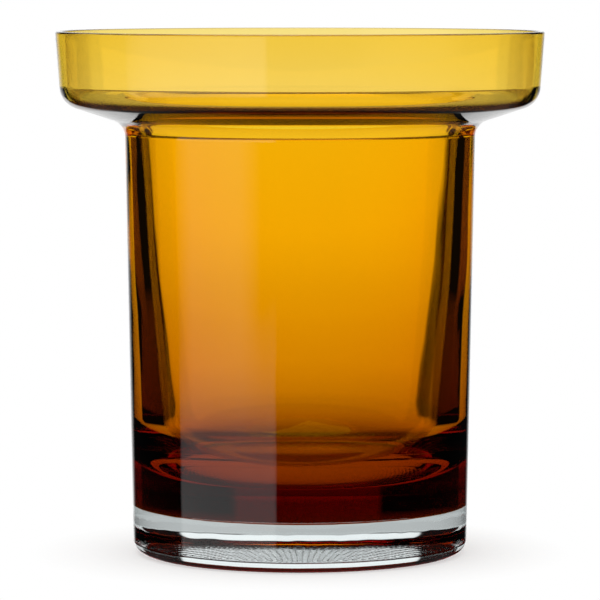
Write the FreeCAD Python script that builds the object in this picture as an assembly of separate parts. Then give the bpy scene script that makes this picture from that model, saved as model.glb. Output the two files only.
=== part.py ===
"""Bulb forcing vase: an amber glass cup with a wide collar, fused onto a clear glass base.

Frame: the origin is on the table at the middle of the base, +Z is up along the axis of the vase,
and each piece is a body of revolution about that axis. Lengths are in millimetres.
"""
import FreeCAD, Part
import math
import os

# Whole vase
VASE_HEIGHT = 100.0

# Collar: the wide, thin bowl above the body
RIM_OUTER_RADIUS = 46.7
RIM_WALL = 1.2
RIM_ROUNDING = 0.4
COLLAR_DEPTH = 13.7            # from the rim to the sharp corner below the outer wall
COLLAR_OUTER_LEAN = 1.0        # how far the outer wall leans in over that depth
COLLAR_INNER_LEAN = 0.6        # how far the inner wall leans in over the same depth
COLLAR_OUTER_ROUNDING = 4.5
COLLAR_INNER_ROUNDING = 3.9
COLLAR_UNDERSIDE_FALL = 4.0    # from the sharp corner down to the neck
BOWL_DEPTH = 13.7              # from the rim to where the bowl's floor would meet its wall

# Body: the heavy tumbler below the collar
BODY_NECK_RADIUS = 33.5
BODY_FOOT_RADIUS = 32.0
NECK_ROUNDING = 3.3

# Well: the hollow that holds the water
WELL_MOUTH_INSET = 2.9         # from the neck's radius
WELL_MOUTH_FALL = 0.9          # from the edge of the bowl's floor down to the mouth
WELL_MOUTH_ROUNDING = 4.5
WELL_WAIST_INSET = 4.6         # from the neck's radius, where the wall starts to lean in more
WELL_WAIST_DEPTH = 48.0        # from the rim
WELL_WAIST_ROUNDING = 300.0
WELL_FLOOR_INSET = 6.4         # from the foot's radius, to where the wall would meet the floor
WELL_FLOOR_HEIGHT = 14.5
WELL_FLOOR_ROUNDING = 13.0

# Joint: the domed face where the amber glass is fused onto the clear glass
JOINT_EDGE_HEIGHT = 9.6
JOINT_MIDDLE_HEIGHT = 7.4

# Foot: the underside of the clear base
FOOT_ROUNDING = 2.6
RECESS_INSET = 5.5             # from the foot's radius
RECESS_DEPTH = 0.5
RECESS_ROUNDING = 0.2


def unit_vector(start, end):
    run = end[0] - start[0]
    rise = end[1] - start[1]
    length = math.hypot(run, rise)
    return run / length, rise / length


def section_point(radius, height):
    return FreeCAD.Vector(radius, 0, height)


def straight_edge(start, end):
    return Part.LineSegment(section_point(*start), section_point(*end)).toShape()


def rounded_outline(start, corners, end):
    """Edges from start through the corners (radius, height, rounding) to end.

    Each rounded corner becomes an arc that is tangent to the two lines beside it.
    """
    edges = []
    ends = [start] + [corner[:2] for corner in corners] + [end]
    last = start
    for before, (radius, height, rounding), after in zip(ends, corners, ends[2:]):
        back = unit_vector((radius, height), before)
        ahead = unit_vector((radius, height), after)
        half_angle = 0.5 * math.acos(back[0] * ahead[0] + back[1] * ahead[1])
        inwards = unit_vector((0, 0), (back[0] + ahead[0], back[1] + ahead[1]))
        setback = rounding / math.tan(half_angle)
        nearest = rounding / math.sin(half_angle) - rounding
        arc_start = (radius + setback * back[0], height + setback * back[1])
        arc_middle = (radius + nearest * inwards[0], height + nearest * inwards[1])
        arc_end = (radius + setback * ahead[0], height + setback * ahead[1])
        edges.append(straight_edge(last, arc_start))
        arc = Part.Arc(section_point(*arc_start), section_point(*arc_middle), section_point(*arc_end))
        edges.append(arc.toShape())
        last = arc_end
    edges.append(straight_edge(last, end))
    return edges


def revolved(edges):
    """The solid that the closed outline sweeps in one turn about the axis of the vase."""
    outline = Part.Wire(Part.__sortEdges__(edges))
    axis = FreeCAD.Vector(0, 0, 1)
    return Part.Face(outline).revolve(FreeCAD.Vector(0, 0, 0), axis, 360)


# Places that more than one outline uses
COLLAR_CORNER = (RIM_OUTER_RADIUS - COLLAR_OUTER_LEAN, VASE_HEIGHT - COLLAR_DEPTH)
NECK = (BODY_NECK_RADIUS, COLLAR_CORNER[1] - COLLAR_UNDERSIDE_FALL)
JOINT_MIDDLE = (0, JOINT_MIDDLE_HEIGHT)
JOINT_EDGE = (
    BODY_FOOT_RADIUS + (BODY_NECK_RADIUS - BODY_FOOT_RADIUS) * JOINT_EDGE_HEIGHT / NECK[1],
    JOINT_EDGE_HEIGHT,
)


def joint_edge():
    """The arc from the middle of the fused face to its edge, level at the axis."""
    rise = JOINT_EDGE[1] - JOINT_MIDDLE[1]
    dome_radius = (JOINT_EDGE[0] ** 2 + rise ** 2) / (2 * rise)
    half_angle = 0.5 * math.asin(JOINT_EDGE[0] / dome_radius)
    half_way = (
        dome_radius * math.sin(half_angle),
        JOINT_MIDDLE[1] + dome_radius * (1 - math.cos(half_angle)),
    )
    return Part.Arc(
        section_point(*JOINT_MIDDLE), section_point(*half_way), section_point(*JOINT_EDGE)
    ).toShape()


def amber_cup():
    """Collar, body wall and floor in one piece of amber glass, open at the top."""
    bowl_radius = RIM_OUTER_RADIUS - RIM_WALL - COLLAR_INNER_LEAN
    bowl_floor = VASE_HEIGHT - BOWL_DEPTH
    well_floor = (0, WELL_FLOOR_HEIGHT)
    corners = [
        (NECK[0], NECK[1], NECK_ROUNDING),
        (COLLAR_CORNER[0], COLLAR_CORNER[1], COLLAR_OUTER_ROUNDING),
        (RIM_OUTER_RADIUS, VASE_HEIGHT, RIM_ROUNDING),
        (RIM_OUTER_RADIUS - RIM_WALL, VASE_HEIGHT, RIM_ROUNDING),
        (bowl_radius, bowl_floor, COLLAR_INNER_ROUNDING),
        (BODY_NECK_RADIUS - WELL_MOUTH_INSET, bowl_floor - WELL_MOUTH_FALL, WELL_MOUTH_ROUNDING),
        (BODY_NECK_RADIUS - WELL_WAIST_INSET, VASE_HEIGHT - WELL_WAIST_DEPTH, WELL_WAIST_ROUNDING),
        (BODY_FOOT_RADIUS - WELL_FLOOR_INSET, WELL_FLOOR_HEIGHT, WELL_FLOOR_ROUNDING),
    ]
    edges = rounded_outline(JOINT_EDGE, corners, well_floor)
    edges.append(straight_edge(well_floor, JOINT_MIDDLE))
    edges.append(joint_edge())
    return revolved(edges)


def clear_base():
    """The clear glass foot below the fused face, with a shallow recess in its underside."""
    recess_middle = (0, RECESS_DEPTH)
    recess_radius = BODY_FOOT_RADIUS - RECESS_INSET
    corners = [
        (recess_radius, RECESS_DEPTH, RECESS_ROUNDING),
        (recess_radius, 0, RECESS_ROUNDING),
        (BODY_FOOT_RADIUS, 0, FOOT_ROUNDING),
    ]
    edges = rounded_outline(recess_middle, corners, JOINT_EDGE)
    edges.append(joint_edge())
    edges.append(straight_edge(JOINT_MIDDLE, recess_middle))
    return revolved(edges)


os.makedirs("parts", exist_ok=True)
for name, make in (("amber_cup", amber_cup), ("clear_base", clear_base)):
    solid = make()
    solid.exportStep("parts/" + name + ".step")
    box = solid.BoundBox
    print(name, solid.ShapeType, solid.isValid(), round(solid.Volume), "mm3", box.ZMin, box.ZMax, box.XMax)
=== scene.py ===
"""Bulb forcing vase: an amber glass cup with a wide collar, fused onto a clear glass base.

Lengths are in metres, but for the outline and the stipple, which are in millimetres. +Z is up along the
axis of the vase and the camera stands on the -Y side.
"""

import math

import bpy
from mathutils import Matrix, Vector, noise
from mathutils.geometry import delaunay_2d_cdt


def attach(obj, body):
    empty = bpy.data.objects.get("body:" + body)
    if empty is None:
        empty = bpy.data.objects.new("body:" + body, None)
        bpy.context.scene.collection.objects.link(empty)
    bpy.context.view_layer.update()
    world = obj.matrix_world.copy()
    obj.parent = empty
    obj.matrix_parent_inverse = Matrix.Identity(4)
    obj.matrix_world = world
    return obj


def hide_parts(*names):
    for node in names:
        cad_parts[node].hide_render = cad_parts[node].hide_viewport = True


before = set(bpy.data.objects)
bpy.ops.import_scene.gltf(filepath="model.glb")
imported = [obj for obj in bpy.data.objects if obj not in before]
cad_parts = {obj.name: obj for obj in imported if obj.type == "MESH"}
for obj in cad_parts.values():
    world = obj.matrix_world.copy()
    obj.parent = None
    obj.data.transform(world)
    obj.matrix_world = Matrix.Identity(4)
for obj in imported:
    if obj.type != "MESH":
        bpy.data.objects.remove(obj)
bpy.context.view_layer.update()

MM = 0.001
AROUND = 360                    # faces round each revolved piece
ARC_STEP = math.radians(4.0)    # turn of the outline from one point of an arc to the next
ARC_STEPS_LEAST = 8
AXIS_RADIUS = 1e-9              # a ring within this radius is one point on the axis
STRAIGHT_UP = 0.9999            # least height of a unit normal that points straight up

# Whole vase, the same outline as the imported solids, in millimetres
VASE_HEIGHT = 100.0
RIM_OUTER_RADIUS = 46.7
RIM_WALL = 1.2
RIM_ROUNDING = 0.4
COLLAR_DEPTH = 13.7
COLLAR_OUTER_LEAN = 1.0
COLLAR_INNER_LEAN = 0.6
COLLAR_OUTER_ROUNDING = 4.5
COLLAR_INNER_ROUNDING = 3.9
COLLAR_UNDERSIDE_FALL = 4.0
BOWL_FLOOR_HEIGHT = 86.3
WELL_MOUTH_HEIGHT = 85.4
BODY_NECK_RADIUS = 33.5
BODY_FOOT_RADIUS = 32.0
NECK_ROUNDING = 3.3
WELL_MOUTH_RADIUS = 30.6
WELL_MOUTH_ROUNDING = 4.5
WELL_WAIST_RADIUS = 28.9
WELL_WAIST_HEIGHT = 52.0
WELL_WAIST_ROUNDING = 300.0
WELL_FLOOR_RADIUS = 25.6
WELL_FLOOR_HEIGHT = 14.5
WELL_FLOOR_ROUNDING = 13.0
JOINT_EDGE_HEIGHT = 9.6
JOINT_MIDDLE_HEIGHT = 7.4
FOOT_ROUNDING = 2.6
RECESS_RADIUS = 26.5
RECESS_DEPTH = 0.5
RECESS_ROUNDING = 0.2

JOINT_GAP = 0.02                # between the two fused faces, so that a ray meets one and then the other
JOINT_STEPS = 40
GLASS_BEND = 1.5                # IOR against air
FUSED_BEND = 1.0                # IOR of the fused faces, which don't bend light

# Stipple pressed into the recess under the base, in millimetres
STIPPLE_PITCH = 1.4             # from one bump to the next
STIPPLE_SHIFT = 0.04            # how far a bump may lie off the lattice
STIPPLE_BUMP_RADIUS = 0.50
STIPPLE_HEIGHT = 0.08
STIPPLE_MARGIN = 0.7            # plain ring inside the wall of the recess
STIPPLE_CUTS = 6                # mesh steps from one bump to the next
CAP_INSET = 0.1                 # from the recess's rounding to the stippled mesh
CAP_EDGE_STEPS = 0.7            # mesh steps between the stippled mesh's ring and the points inside it
CUT_INSIDE = 1                  # triangulates only what is inside the ring
CUT_MERGE = 1e-7

# Camera, fitted to the outline of the vase in a square picture
CAMERA_PLACE = Vector((0.0, -0.804, 0.1120))
CAMERA_AIM = Vector((0.0, 0.0, 0.0485))
FOCAL_PIXELS = 4205.0
PICTURE_PIXELS = 600.0
SENSOR_MM = 36.0
NEAREST_SEEN = 0.01

camera_data = bpy.data.cameras.new("camera")
camera_data.sensor_width = SENSOR_MM
camera_data.lens = SENSOR_MM * FOCAL_PIXELS / PICTURE_PIXELS
camera_data.clip_start = NEAREST_SEEN
camera = bpy.data.objects.new("camera", camera_data)
camera.location = CAMERA_PLACE
camera.rotation_euler = (CAMERA_AIM - CAMERA_PLACE).to_track_quat("-Z", "Y").to_euler()
bpy.context.scene.collection.objects.link(camera)
bpy.context.scene.camera = camera
bpy.context.scene.view_settings.view_transform = "Standard"


def heading(start, end):
    """Unit direction from one (radius, height) to another."""
    run, rise = end[0] - start[0], end[1] - start[1]
    length = math.hypot(run, rise)
    return run / length, rise / length


def rounded_run(start, corners, end):
    """Points (radius, height, normal radius, normal height) along tangent arcs and straights.

    The outline is walked so that the glass is on its left, which makes the outward normal point right.
    """
    ends = [start] + [corner[:2] for corner in corners] + [end]
    ahead = heading(ends[0], ends[1])
    points = [(*start, ahead[1], -ahead[0])]
    for before, (radius, height, rounding), after in zip(ends, corners, ends[2:]):
        inward = heading(before, (radius, height))
        outward = heading((radius, height), after)
        turn = math.atan2(
            inward[0] * outward[1] - inward[1] * outward[0],
            inward[0] * outward[0] + inward[1] * outward[1],
        )
        setback = rounding * math.tan(abs(turn) / 2)
        side = math.copysign(1.0, turn)
        centre = (
            radius - setback * inward[0] - side * rounding * inward[1],
            height - setback * inward[1] + side * rounding * inward[0],
        )
        steps = max(ARC_STEPS_LEAST, math.ceil(abs(turn) / ARC_STEP))
        for step in range(steps + 1):
            angle = turn * step / steps
            normal = (
                inward[1] * math.cos(angle) + inward[0] * math.sin(angle),
                -inward[0] * math.cos(angle) + inward[1] * math.sin(angle),
            )
            points.append((
                centre[0] + side * rounding * normal[0],
                centre[1] + side * rounding * normal[1],
                *normal,
            ))
    ahead = heading(ends[-2], ends[-1])
    points.append((*end, ahead[1], -ahead[0]))
    return points


def joint_run(edge, middle, up):
    """The domed fused face from its edge to the axis; up is 1 where the outward normal points up."""
    rise = edge[1] - middle[1]
    dome_radius = (edge[0] ** 2 + rise ** 2) / (2 * rise)
    widest = math.asin(edge[0] / dome_radius)
    points = []
    for step in range(JOINT_STEPS + 1):
        angle = widest * (1 - step / JOINT_STEPS)
        points.append((
            dome_radius * math.sin(angle),
            middle[1] + dome_radius * (1 - math.cos(angle)),
            -up * math.sin(angle),
            up * math.cos(angle),
        ))
    return points


collar_corner = (RIM_OUTER_RADIUS - COLLAR_OUTER_LEAN, VASE_HEIGHT - COLLAR_DEPTH)
neck = (BODY_NECK_RADIUS, collar_corner[1] - COLLAR_UNDERSIDE_FALL)


def wall_radius(height):
    """Radius of the body's outer wall at a height."""
    return BODY_FOOT_RADIUS + (BODY_NECK_RADIUS - BODY_FOOT_RADIUS) * height / neck[1]


def circle(radius, height):
    """AROUND places on a level circle."""
    turns = [math.tau * k / AROUND for k in range(AROUND)]
    return [(radius * math.cos(turn), radius * math.sin(turn), height) for turn in turns]


def spun(normal, k):
    """An outline's (normal radius, normal height) turned to the k-th place of a circle."""
    turn = math.tau * k / AROUND
    return (normal[0] * math.cos(turn), normal[0] * math.sin(turn), normal[1])


def build_mesh(name, runs, cap=None):
    """A closed surface of revolution. runs are [(points, bend, outer)] in order, each starting where the
    last ended: bend is the glass's IOR there, and outer is 1 on the outside of the vase. cap is
    (vertices, triangles, normals) of a face whose first AROUND vertices are the first point's ring.
    """
    verts, faces, normals, bends, outers = [], [], [], [], []

    def ring(radius, height):
        """First vertex of a new ring, and whether it is a single point on the axis."""
        first = len(verts)
        on_axis = radius < AXIS_RADIUS
        if on_axis:
            verts.append((0.0, 0.0, height * MM))
        else:
            verts.extend(circle(radius * MM, height * MM))
        return first, on_axis

    first_ring = last_ring = None
    for points, bend, outer in runs:
        rings = [last_ring or ring(*points[0][:2])]
        rings += [ring(*point[:2]) for point in points[1:]]
        first_ring = first_ring or rings[0]
        last_ring = rings[-1]
        for (a, a_on_axis), (b, b_on_axis), start, end in zip(rings, rings[1:], points, points[1:]):
            start, end = start[2:], end[2:]
            for k in range(AROUND):
                after = (k + 1) % AROUND
                if a_on_axis:
                    faces.append((a, b + after, b + k))
                    normals += [spun(start, k + 0.5), spun(end, k + 1), spun(end, k)]
                elif b_on_axis:
                    faces.append((a + k, a + after, b))
                    normals += [spun(start, k), spun(start, k + 1), spun(end, k + 0.5)]
                else:
                    faces.append((a + k, a + after, b + after, b + k))
                    normals += [spun(start, k), spun(start, k + 1), spun(end, k + 1), spun(end, k)]
                bends.append(bend)
                outers.append(outer)
    if cap is not None:
        cap_verts, cap_faces, cap_normals = cap
        moved_to = [first_ring[0] + k for k in range(AROUND)]
        for vert in cap_verts[AROUND:]:
            moved_to.append(len(verts))
            verts.append(vert)
        for face in cap_faces:
            faces.append(tuple(moved_to[v] for v in face))
            normals += [cap_normals[v] for v in face]
            bends.append(GLASS_BEND)
            outers.append(1.0)
    mesh = bpy.data.meshes.new(name)
    mesh.from_pydata(verts, [], faces)
    mesh.polygons.foreach_set("use_smooth", [True] * len(faces))
    mesh.normals_split_custom_set(normals)
    for attribute, values in (("bend", bends), ("outer", outers)):
        mesh.attributes.new(attribute, "FLOAT", "FACE").data.foreach_set("value", values)
    mesh.update()
    piece = bpy.data.objects.new(name, mesh)
    bpy.context.scene.collection.objects.link(piece)
    return piece


def stipple_drop(x, y):
    """Drop of the recess's ceiling at a point, and its slope in x and y: caps on a hexagonal lattice."""
    reach = RECESS_RADIUS - RECESS_ROUNDING - STIPPLE_MARGIN - STIPPLE_BUMP_RADIUS
    row_gap = STIPPLE_PITCH * math.sqrt(3) / 2
    nearest_row = round(y / row_gap)
    middles = []
    for row in (nearest_row - 1, nearest_row, nearest_row + 1):
        shift = 0.5 * STIPPLE_PITCH * (row % 2)
        column = round((x - shift) / STIPPLE_PITCH)
        # depends on the place alone, so it is the same on every run
        off = noise.cell_vector(Vector((column, row, 0.0)))
        middle_x = column * STIPPLE_PITCH + shift + STIPPLE_SHIFT * (2 * off.x - 1)
        middle_y = row * row_gap + STIPPLE_SHIFT * (2 * off.y - 1)
        middles.append((math.hypot(x - middle_x, y - middle_y), middle_x, middle_y))
    away, middle_x, middle_y = min(middles)
    if away >= STIPPLE_BUMP_RADIUS or math.hypot(middle_x, middle_y) > reach:
        return 0.0, 0.0, 0.0
    drop = STIPPLE_HEIGHT * (1 - (away / STIPPLE_BUMP_RADIUS) ** 2)
    steepness = -2 * STIPPLE_HEIGHT / STIPPLE_BUMP_RADIUS ** 2
    return drop, steepness * (x - middle_x), steepness * (y - middle_y)


def stippled_cap(ring_radius):
    """Vertices, faces and normals of the recess's ceiling inside a ring, the ring's vertices first."""
    step = STIPPLE_PITCH / STIPPLE_CUTS
    points = [Vector(place[:2]) for place in circle(ring_radius, 0.0)]
    row_gap = step * math.sqrt(3) / 2
    rows = int(ring_radius / row_gap) + 1
    columns = int(ring_radius / step) + 1
    limit = ring_radius - CAP_EDGE_STEPS * step
    for row in range(-rows, rows + 1):
        y = row * row_gap
        shift = 0.5 * step * (row % 2)
        for column in range(-columns, columns + 1):
            x = column * step + shift
            if x * x + y * y < limit * limit:
                points.append(Vector((x, y)))
    edges = [(k, (k + 1) % AROUND) for k in range(AROUND)]
    points, _, triangles, _, _, _ = delaunay_2d_cdt(points, edges, [], CUT_INSIDE, CUT_MERGE, False)
    cap_verts, cap_normals = [], []
    for point in points:
        drop, slope_x, slope_y = stipple_drop(point.x, point.y)
        cap_verts.append((point.x * MM, point.y * MM, (RECESS_DEPTH - drop) * MM))
        # the glass is above, so the outward normal points down
        cap_normals.append(tuple(Vector((-slope_x, -slope_y, -1.0)).normalized()))
    cap_faces = []
    for triangle in triangles:
        a, b, c = (points[i] for i in triangle)
        area = (b.x - a.x) * (c.y - a.y) - (b.y - a.y) * (c.x - a.x)
        cap_faces.append(tuple(triangle) if area < 0 else tuple(reversed(triangle)))
    return cap_verts, cap_faces, cap_normals


# Amber cup
joint_edge = (wall_radius(JOINT_EDGE_HEIGHT), JOINT_EDGE_HEIGHT)
joint_middle = (0.0, JOINT_MIDDLE_HEIGHT)
amber_edge = (joint_edge[0], joint_edge[1] + JOINT_GAP)
amber_middle = (0.0, joint_middle[1] + JOINT_GAP)
bowl_radius = RIM_OUTER_RADIUS - RIM_WALL - COLLAR_INNER_LEAN
amber_outline = rounded_run(
    amber_edge,
    [
        (*neck, NECK_ROUNDING),
        (*collar_corner, COLLAR_OUTER_ROUNDING),
        (RIM_OUTER_RADIUS, VASE_HEIGHT, RIM_ROUNDING),
        (RIM_OUTER_RADIUS - RIM_WALL, VASE_HEIGHT, RIM_ROUNDING),
        (bowl_radius, BOWL_FLOOR_HEIGHT, COLLAR_INNER_ROUNDING),
        (WELL_MOUTH_RADIUS, WELL_MOUTH_HEIGHT, WELL_MOUTH_ROUNDING),
        (WELL_WAIST_RADIUS, WELL_WAIST_HEIGHT, WELL_WAIST_ROUNDING),
        (WELL_FLOOR_RADIUS, WELL_FLOOR_HEIGHT, WELL_FLOOR_ROUNDING),
    ],
    (0.0, WELL_FLOOR_HEIGHT),
)
under_amber = list(reversed(joint_run(amber_edge, amber_middle, -1)))
rim_top = next(index for index, point in enumerate(amber_outline) if point[3] > STRAIGHT_UP)
amber_piece = build_mesh("amber_glass_cup", [
    (under_amber, FUSED_BEND, 0.0),
    (amber_outline[:rim_top + 1], GLASS_BEND, 1.0),
    (amber_outline[rim_top:], GLASS_BEND, 0.0),
])
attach(amber_piece, "root")
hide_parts("amber_cup")

# Clear base
cap_radius = RECESS_RADIUS - RECESS_ROUNDING - CAP_INSET
base_outline = rounded_run(
    (cap_radius, RECESS_DEPTH),
    [
        (RECESS_RADIUS, RECESS_DEPTH, RECESS_ROUNDING),
        (RECESS_RADIUS, 0.0, RECESS_ROUNDING),
        (BODY_FOOT_RADIUS, 0.0, FOOT_ROUNDING),
    ],
    joint_edge,
)
base_piece = build_mesh(
    "clear_glass_base",
    [(base_outline, GLASS_BEND, 1.0), (joint_run(joint_edge, joint_middle, 1), FUSED_BEND, 0.0)],
    stippled_cap(cap_radius),
)
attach(base_piece, "root")
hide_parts("clear_base")


class Tree:
    """Short calls for building a node tree."""

    def __init__(self, owner):
        owner.use_nodes = True
        self.tree = owner.node_tree
        self.tree.nodes.clear()

    def node(self, kind, inputs=None, **settings):
        made = self.tree.nodes.new("ShaderNode" + kind)
        for key, value in settings.items():
            setattr(made, key, value)
        for key, value in (inputs or {}).items():
            self.feed(made.inputs[key], value)
        return made

    def feed(self, socket, value):
        if isinstance(value, bpy.types.NodeSocket):
            self.tree.links.new(value, socket)
        else:
            socket.default_value = value

    def math(self, operation, *values):
        return self.node("Math", dict(enumerate(values)), operation=operation).outputs[0]

    def between(self, value, start, end, low=0.0, high=1.0, **settings):
        """low at start and high at end, and held beyond both."""
        inputs = {0: value, 1: start, 2: end, 3: low, 4: high}
        return self.node("MapRange", inputs, **settings).outputs[0]

    def ramp(self, factor, stops):
        """stops are (place, grey or colour) from 0 to 1."""
        made = self.node("ValToRGB", {0: factor})
        elements = made.color_ramp.elements
        while len(elements) < len(stops):
            elements.new(0.5)
        for element, (place, _) in zip(elements, stops):
            element.position = place
        for element, (_, value) in zip(elements, stops):
            colour = value if isinstance(value, tuple) else (value, value, value)
            element.color = (*colour, 1.0)
        return made.outputs["Color"]

    def blend(self, factor, a, b):
        return self.node("Mix", {0: factor, 6: a, 7: b}, data_type="RGBA").outputs[2]


def grey(level):
    return (level, level, level, 1.0)


WHITE = grey(1.0)

# Glass. What a metre takes off each colour, as an exponent:
AMBER_ABSORBED = (5.0, 84.0, 900.0)
CLEAR_ABSORBED = (1.6, 0.5, 0.6)
DENSEST_SHARE = 0.98            # of the most absorbed colour, lost at a density of 1
# What two crossings of the surface let through, at most and in a streak
WALL_TINT = (1.0, 0.89, 0.75)
AMBER_STREAK = (0.45, 0.22, 0.05, 1.0)
CLEAR_TINT = (0.98, 0.99, 1.0, 1.0)
CLEAR_STREAK = (0.70, 0.76, 0.80, 1.0)
STREAK_SHARE = 0.05             # most of the way that a streak goes from the tint to its own colour
# The slight waviness that a hand-worked surface keeps
AMBER_WAVES = (70.0, 70.0, 22.0)    # waves to a metre; on the blown cup they are drawn out upwards
CLEAR_WAVES = (90.0, 90.0, 90.0)
WAVE_STRENGTH = 0.10
WAVE_DISTANCE = 0.001
WAVE_DETAIL = 2.0

# Painted shade where thick glass looks darker than the volume alone makes it: heights on the outside, and
# tints that darken the surface colour
SOLID_TOP = 0.0135
SOLID_SHADE_TINT = (0.020, 0.006, 0.004)  # the solid glass below the well
HEEL_MIDDLE = 0.0200
HEEL_SHADE_TINT = (0.62, 0.46, 0.50)
HEEL_TOP = 0.0320
# painted shade in a band round the foot of the collar and under its corner
NECK_SHADE_TINT = (0.10, 0.04, 0.01)
UNDERSIDE_SHADE_TINT = (0.50, 0.40, 0.20)
CORNER_SHADE_TINT = (0.05, 0.014, 0.004)
COLLAR_FOOT_SHADE = (
    (0.0836, WALL_TINT),
    (0.0839, NECK_SHADE_TINT),
    (0.0843, NECK_SHADE_TINT),
    (0.0845, UNDERSIDE_SHADE_TINT),
    (0.0848, UNDERSIDE_SHADE_TINT),
    (0.0851, CORNER_SHADE_TINT),
    (0.0867, CORNER_SHADE_TINT),
    (0.0872, WALL_TINT),
)
# The same painted shade on the inside, towards the floor of the well
WELL_FLOOR_SHADE_TINT = (0.32, 0.15, 0.20, 1.0)
WELL_FLOOR_FROM = 0.0230
WELL_FLOOR_FULL = 0.0180


def glass(name, absorbed, waves):
    """The material, its tree, its surface shader, and how much of a streak there is at a point."""
    material = bpy.data.materials.new(name)
    tree = Tree(material)
    density = max(absorbed) / DENSEST_SHARE
    colour = tuple(1 - a / density for a in absorbed) + (1.0,)
    volume = tree.node("VolumeAbsorption", {"Color": colour, "Density": density})
    spot = tree.node("TexCoord").outputs["Object"]
    drawn_out = tree.node("VectorMath", {0: spot, 1: waves}, operation="MULTIPLY").outputs[0]
    wave = tree.node("TexNoise", {"Vector": drawn_out, "Scale": 1.0, "Detail": WAVE_DETAIL}).outputs["Fac"]
    bump = tree.node("Bump", {"Strength": WAVE_STRENGTH, "Distance": WAVE_DISTANCE, "Height": wave})
    surface = tree.node("BsdfPrincipled", {
        "Roughness": 0.0,
        "Transmission Weight": 1.0,
        "IOR": tree.node("Attribute", attribute_name="bend").outputs["Fac"],
        "Normal": bump.outputs[0],
    })
    tree.node("OutputMaterial", {"Surface": surface.outputs[0], "Volume": volume.outputs[0]})
    return material, tree, surface, tree.math("MULTIPLY", wave, STREAK_SHARE)


amber, tree, surface, streaks = glass("amber_glass_blown", AMBER_ABSORBED, AMBER_WAVES)
height = tree.node("SeparateXYZ", {0: tree.node("NewGeometry").outputs["Position"]}).outputs["Z"]
# painted shade: the outside goes from the wall's own tint down to near black at the solid bottom
body_tint_and_shade = tree.ramp(tree.math("DIVIDE", height, HEEL_TOP), [
    (SOLID_TOP / HEEL_TOP, SOLID_SHADE_TINT),
    (HEEL_MIDDLE / HEEL_TOP, HEEL_SHADE_TINT),
    (1.0, WALL_TINT),
])
foot_start, foot_end = COLLAR_FOOT_SHADE[0][0], COLLAR_FOOT_SHADE[-1][0]
# painted shade on the outside at the foot of the collar, between stretches of the wall's own tint
collar_tint_and_shade = tree.ramp(
    tree.between(height, foot_start, foot_end),
    [((level - foot_start) / (foot_end - foot_start), tint_and_shade) for level, tint_and_shade in COLLAR_FOOT_SHADE],
)
outer_tint_and_shade = tree.blend(tree.math("GREATER_THAN", height, foot_start), body_tint_and_shade, collar_tint_and_shade)
# painted shade: the inside darkens towards the floor of the well
well_floor_shading = tree.between(height, WELL_FLOOR_FROM, WELL_FLOOR_FULL, interpolation_type="SMOOTHSTEP")
inner_tint_and_shade = tree.blend(well_floor_shading, (*WALL_TINT, 1.0), WELL_FLOOR_SHADE_TINT)
outside = tree.node("Attribute", attribute_name="outer").outputs["Fac"]
# the glass's own tint with the painted shade of thick glass, then the streaks on top
tint_and_shade = tree.blend(outside, inner_tint_and_shade, outer_tint_and_shade)
tree.feed(surface.inputs["Base Color"], tree.blend(streaks, tint_and_shade, AMBER_STREAK))
amber_piece.data.materials.append(amber)

clear, tree, surface, streaks = glass("clear_glass_pressed", CLEAR_ABSORBED, CLEAR_WAVES)
tree.feed(surface.inputs["Base Color"], tree.blend(streaks, CLEAR_TINT, CLEAR_STREAK))
base_piece.data.materials.append(clear)

# Studio. The camera sees plain white. Glass shows it with the dark gaps that give clear glass its edges,
# and no part of it is brighter than that white. Bearings are in degrees from +Y towards +X, and heights
# are sines of the elevation, highest first.
DARK = 0.005
FULL = 1.0
EDGE_BLUR = 0.8
SOFT_BLUR = 7.0

# Seen through the glass: white behind the vase, between bearings, with a dark gap on both sides of it
GAP_END = 62.0
BACK_LOW = (-18.9, 15.0)
BACK_MIDDLE = (-17.0, 13.0)
BACK_HIGH = (-33.0, 33.0)

# Mirrored in it: panels from one bearing to another, and their brightness
BACK_PANEL = (-17.0, 14.0, FULL)
SIDE_PANEL_SOFT = (-147.0, -97.0, 0.60)
SIDE_PANEL_SHARP = (-163.6, -91.0, FULL)
MIRRORED_TOP = grey(0.5)
MIRRORED_FLOOR = grey(0.08)


def bearing(degrees):
    """A bearing as a place from 0 to 1 on the world's ramps."""
    return degrees / 360.0 + 0.5


def panels(rest, *spans, blur=EDGE_BLUR):
    """Ramp stops that are rest everywhere but in the spans (from, to, value), which are in order."""
    stops = [(0.0, rest)]
    for start, end, value in spans:
        stops.append((bearing(start - blur), rest))
        stops.append((bearing(start + blur), value))
        stops.append((bearing(end - blur), value))
        stops.append((bearing(end + blur), rest))
    return stops


world = bpy.data.worlds.new("studio")
bpy.context.scene.world = world
tree = Tree(world)
way = tree.node("SeparateXYZ", {0: tree.node("TexCoord").outputs["Generated"]}).outputs
place = tree.math("MULTIPLY_ADD", tree.math("ARCTAN2", way["X"], way["Y"]), 1 / math.tau, 0.5)


def layers(levels):
    """Blends rings by height: levels are (sine of the elevation, ring), highest first."""
    shade = levels[0][1]
    for (above, _), (below, ring) in zip(levels, levels[1:]):
        shade = tree.blend(tree.between(way["Z"], above, below), shade, ring)
    return shade


def backdrop(left, right):
    """A ring that is white but for a gap from each edge of the backdrop to GAP_END."""
    return tree.ramp(place, panels(FULL, (-GAP_END, left, DARK), (right, GAP_END, DARK)))


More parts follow.
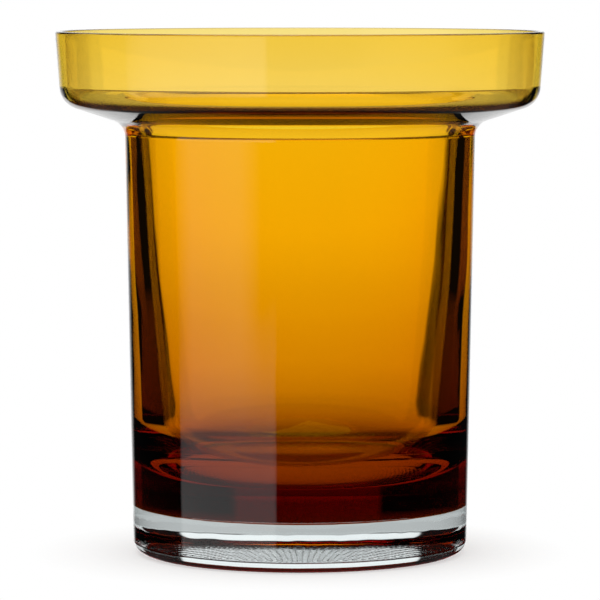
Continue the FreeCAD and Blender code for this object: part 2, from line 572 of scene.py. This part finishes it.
back_middle = backdrop(*BACK_MIDDLE)
back_low = backdrop(*BACK_LOW)
back_high = backdrop(*BACK_HIGH)
seen_through = layers([
    (0.95, WHITE),
    (0.80, grey(DARK)),
    (0.36, grey(DARK)),
    (0.29, back_high),
    (0.00, back_high),
    (-0.045, back_middle),
    (-0.075, back_low),
    (-0.320, back_low),
    (-0.400, WHITE),
])
soft_box = tree.ramp(place, panels(DARK, SIDE_PANEL_SOFT, BACK_PANEL, blur=SOFT_BLUR))
sharp_box = tree.ramp(place, panels(DARK, SIDE_PANEL_SHARP, BACK_PANEL))
mirrored = layers([
    (0.50, MIRRORED_TOP),
    (0.20, soft_box),
    (-0.115, soft_box),
    (-0.155, sharp_box),
    (-0.340, sharp_box),
    (-0.480, MIRRORED_FLOOR),
])
path = tree.node("LightPath").outputs
# A ray that leaves clear glass counts as glossy too, so the transmission ray is asked last
colour = tree.blend(path["Is Glossy Ray"], WHITE, mirrored)
colour = tree.blend(path["Is Transmission Ray"], colour, seen_through)
colour = tree.blend(path["Is Camera Ray"], colour, WHITE)
background = tree.node("Background", {"Color": colour, "Strength": FULL})
tree.node("OutputWorld", {"Surface": background.outputs[0]})

# Floor. To the camera it is lit beside the vase, where the shadow is, and white further out. Through the
# glass it shows a painted shadow of the vase: plain grey near the vase, then it lets the studio through
# further out, with painted shade that deepens evenly all round towards the vase. Distances are from the
# vase's axis.
FLOOR_RADIUS = 3.0
FLOOR_SIDES = 96
FLOOR_DROP = 0.00002            # keeps it clear of the foot
LIT_FLOOR = grey(0.9)
LIT_TO, WHITE_FROM = 0.033, 0.052
WHITE_LEAST = 0.55
NEAR_FLOOR_SHADOW = 0.54
NEAR_TO, STUDIO_FROM = 0.070, 0.088
# painted shadow of the vase on the floor as the glass sees it, fading out away from the vase
FLOOR_SHADE = (                 # distance, share let through
    (0.07, NEAR_FLOOR_SHADOW),
    (0.14, 0.60),
    (0.20, 0.72),
    (0.30, 0.83),
    (0.65, FULL),
)

floor_turns = [math.tau * k / FLOOR_SIDES for k in range(FLOOR_SIDES)]
floor_mesh = bpy.data.meshes.new("studio_floor")
floor_mesh.from_pydata(
    [(FLOOR_RADIUS * math.cos(turn), FLOOR_RADIUS * math.sin(turn), 0.0) for turn in floor_turns],
    [],
    [tuple(range(FLOOR_SIDES))],
)
floor = bpy.data.objects.new("studio_floor", floor_mesh)
bpy.context.scene.collection.objects.link(floor)
floor.location.z = -FLOOR_DROP
ground = bpy.data.materials.new("studio_floor")
tree = Tree(ground)
spot = tree.node("NewGeometry").outputs["Position"]
away = tree.node("VectorMath", {0: spot}, operation="LENGTH").outputs["Value"]
lit = tree.node("BsdfDiffuse", {"Color": LIT_FLOOR})
white = tree.node("Emission", {"Color": WHITE, "Strength": FULL})
whiteness = tree.between(away, LIT_TO, WHITE_FROM, WHITE_LEAST, FULL)
seen = tree.node("MixShader", {0: whiteness, 1: lit.outputs[0], 2: white.outputs[0]})
reach = FLOOR_SHADE[-1][0]
shade = tree.ramp(
    tree.math("DIVIDE", away, reach),
    [(distance / reach, level) for distance, level in FLOOR_SHADE],
)
path = tree.node("LightPath").outputs
through = path["Is Transmission Ray"]
clear_floor = tree.node("BsdfTransparent", {"Color": tree.blend(through, WHITE, shade)})
# painted shadow: rays through the glass see the floor near the vase glow a plain grey
painted_vase_shadow = tree.node("Emission", {"Color": grey(NEAR_FLOOR_SHADOW), "Strength": FULL})
cleared = tree.between(away, NEAR_TO, STUDIO_FROM)
cleared = tree.math("MAXIMUM", cleared, tree.math("SUBTRACT", 1.0, through))
in_glass = tree.node("MixShader", {0: cleared, 1: painted_vase_shadow.outputs[0], 2: clear_floor.outputs[0]})
by_glass = tree.math("MAXIMUM", through, path["Is Glossy Ray"])
shown = tree.node("MixShader", {0: by_glass, 1: seen.outputs[0], 2: in_glass.outputs[0]})
tree.node("OutputMaterial", {"Surface": shown.outputs[0]})
floor_mesh.materials.append(ground)

# Overhead lamp
LAMP_PLACE = Vector((-0.2, -0.2, 1.5))
LAMP_SIZE = 1.2
LAMP_WATTS = 6.0

lamp_data = bpy.data.lights.new("overhead", "AREA")
lamp_data.shape = "SQUARE"
lamp_data.size = LAMP_SIZE
lamp_data.energy = LAMP_WATTS
lamp = bpy.data.objects.new("overhead", lamp_data)
lamp.location = LAMP_PLACE
lamp.rotation_euler = (-LAMP_PLACE).to_track_quat("-Z", "Y").to_euler()
lamp.visible_camera = False
bpy.context.scene.collection.objects.link(lamp)
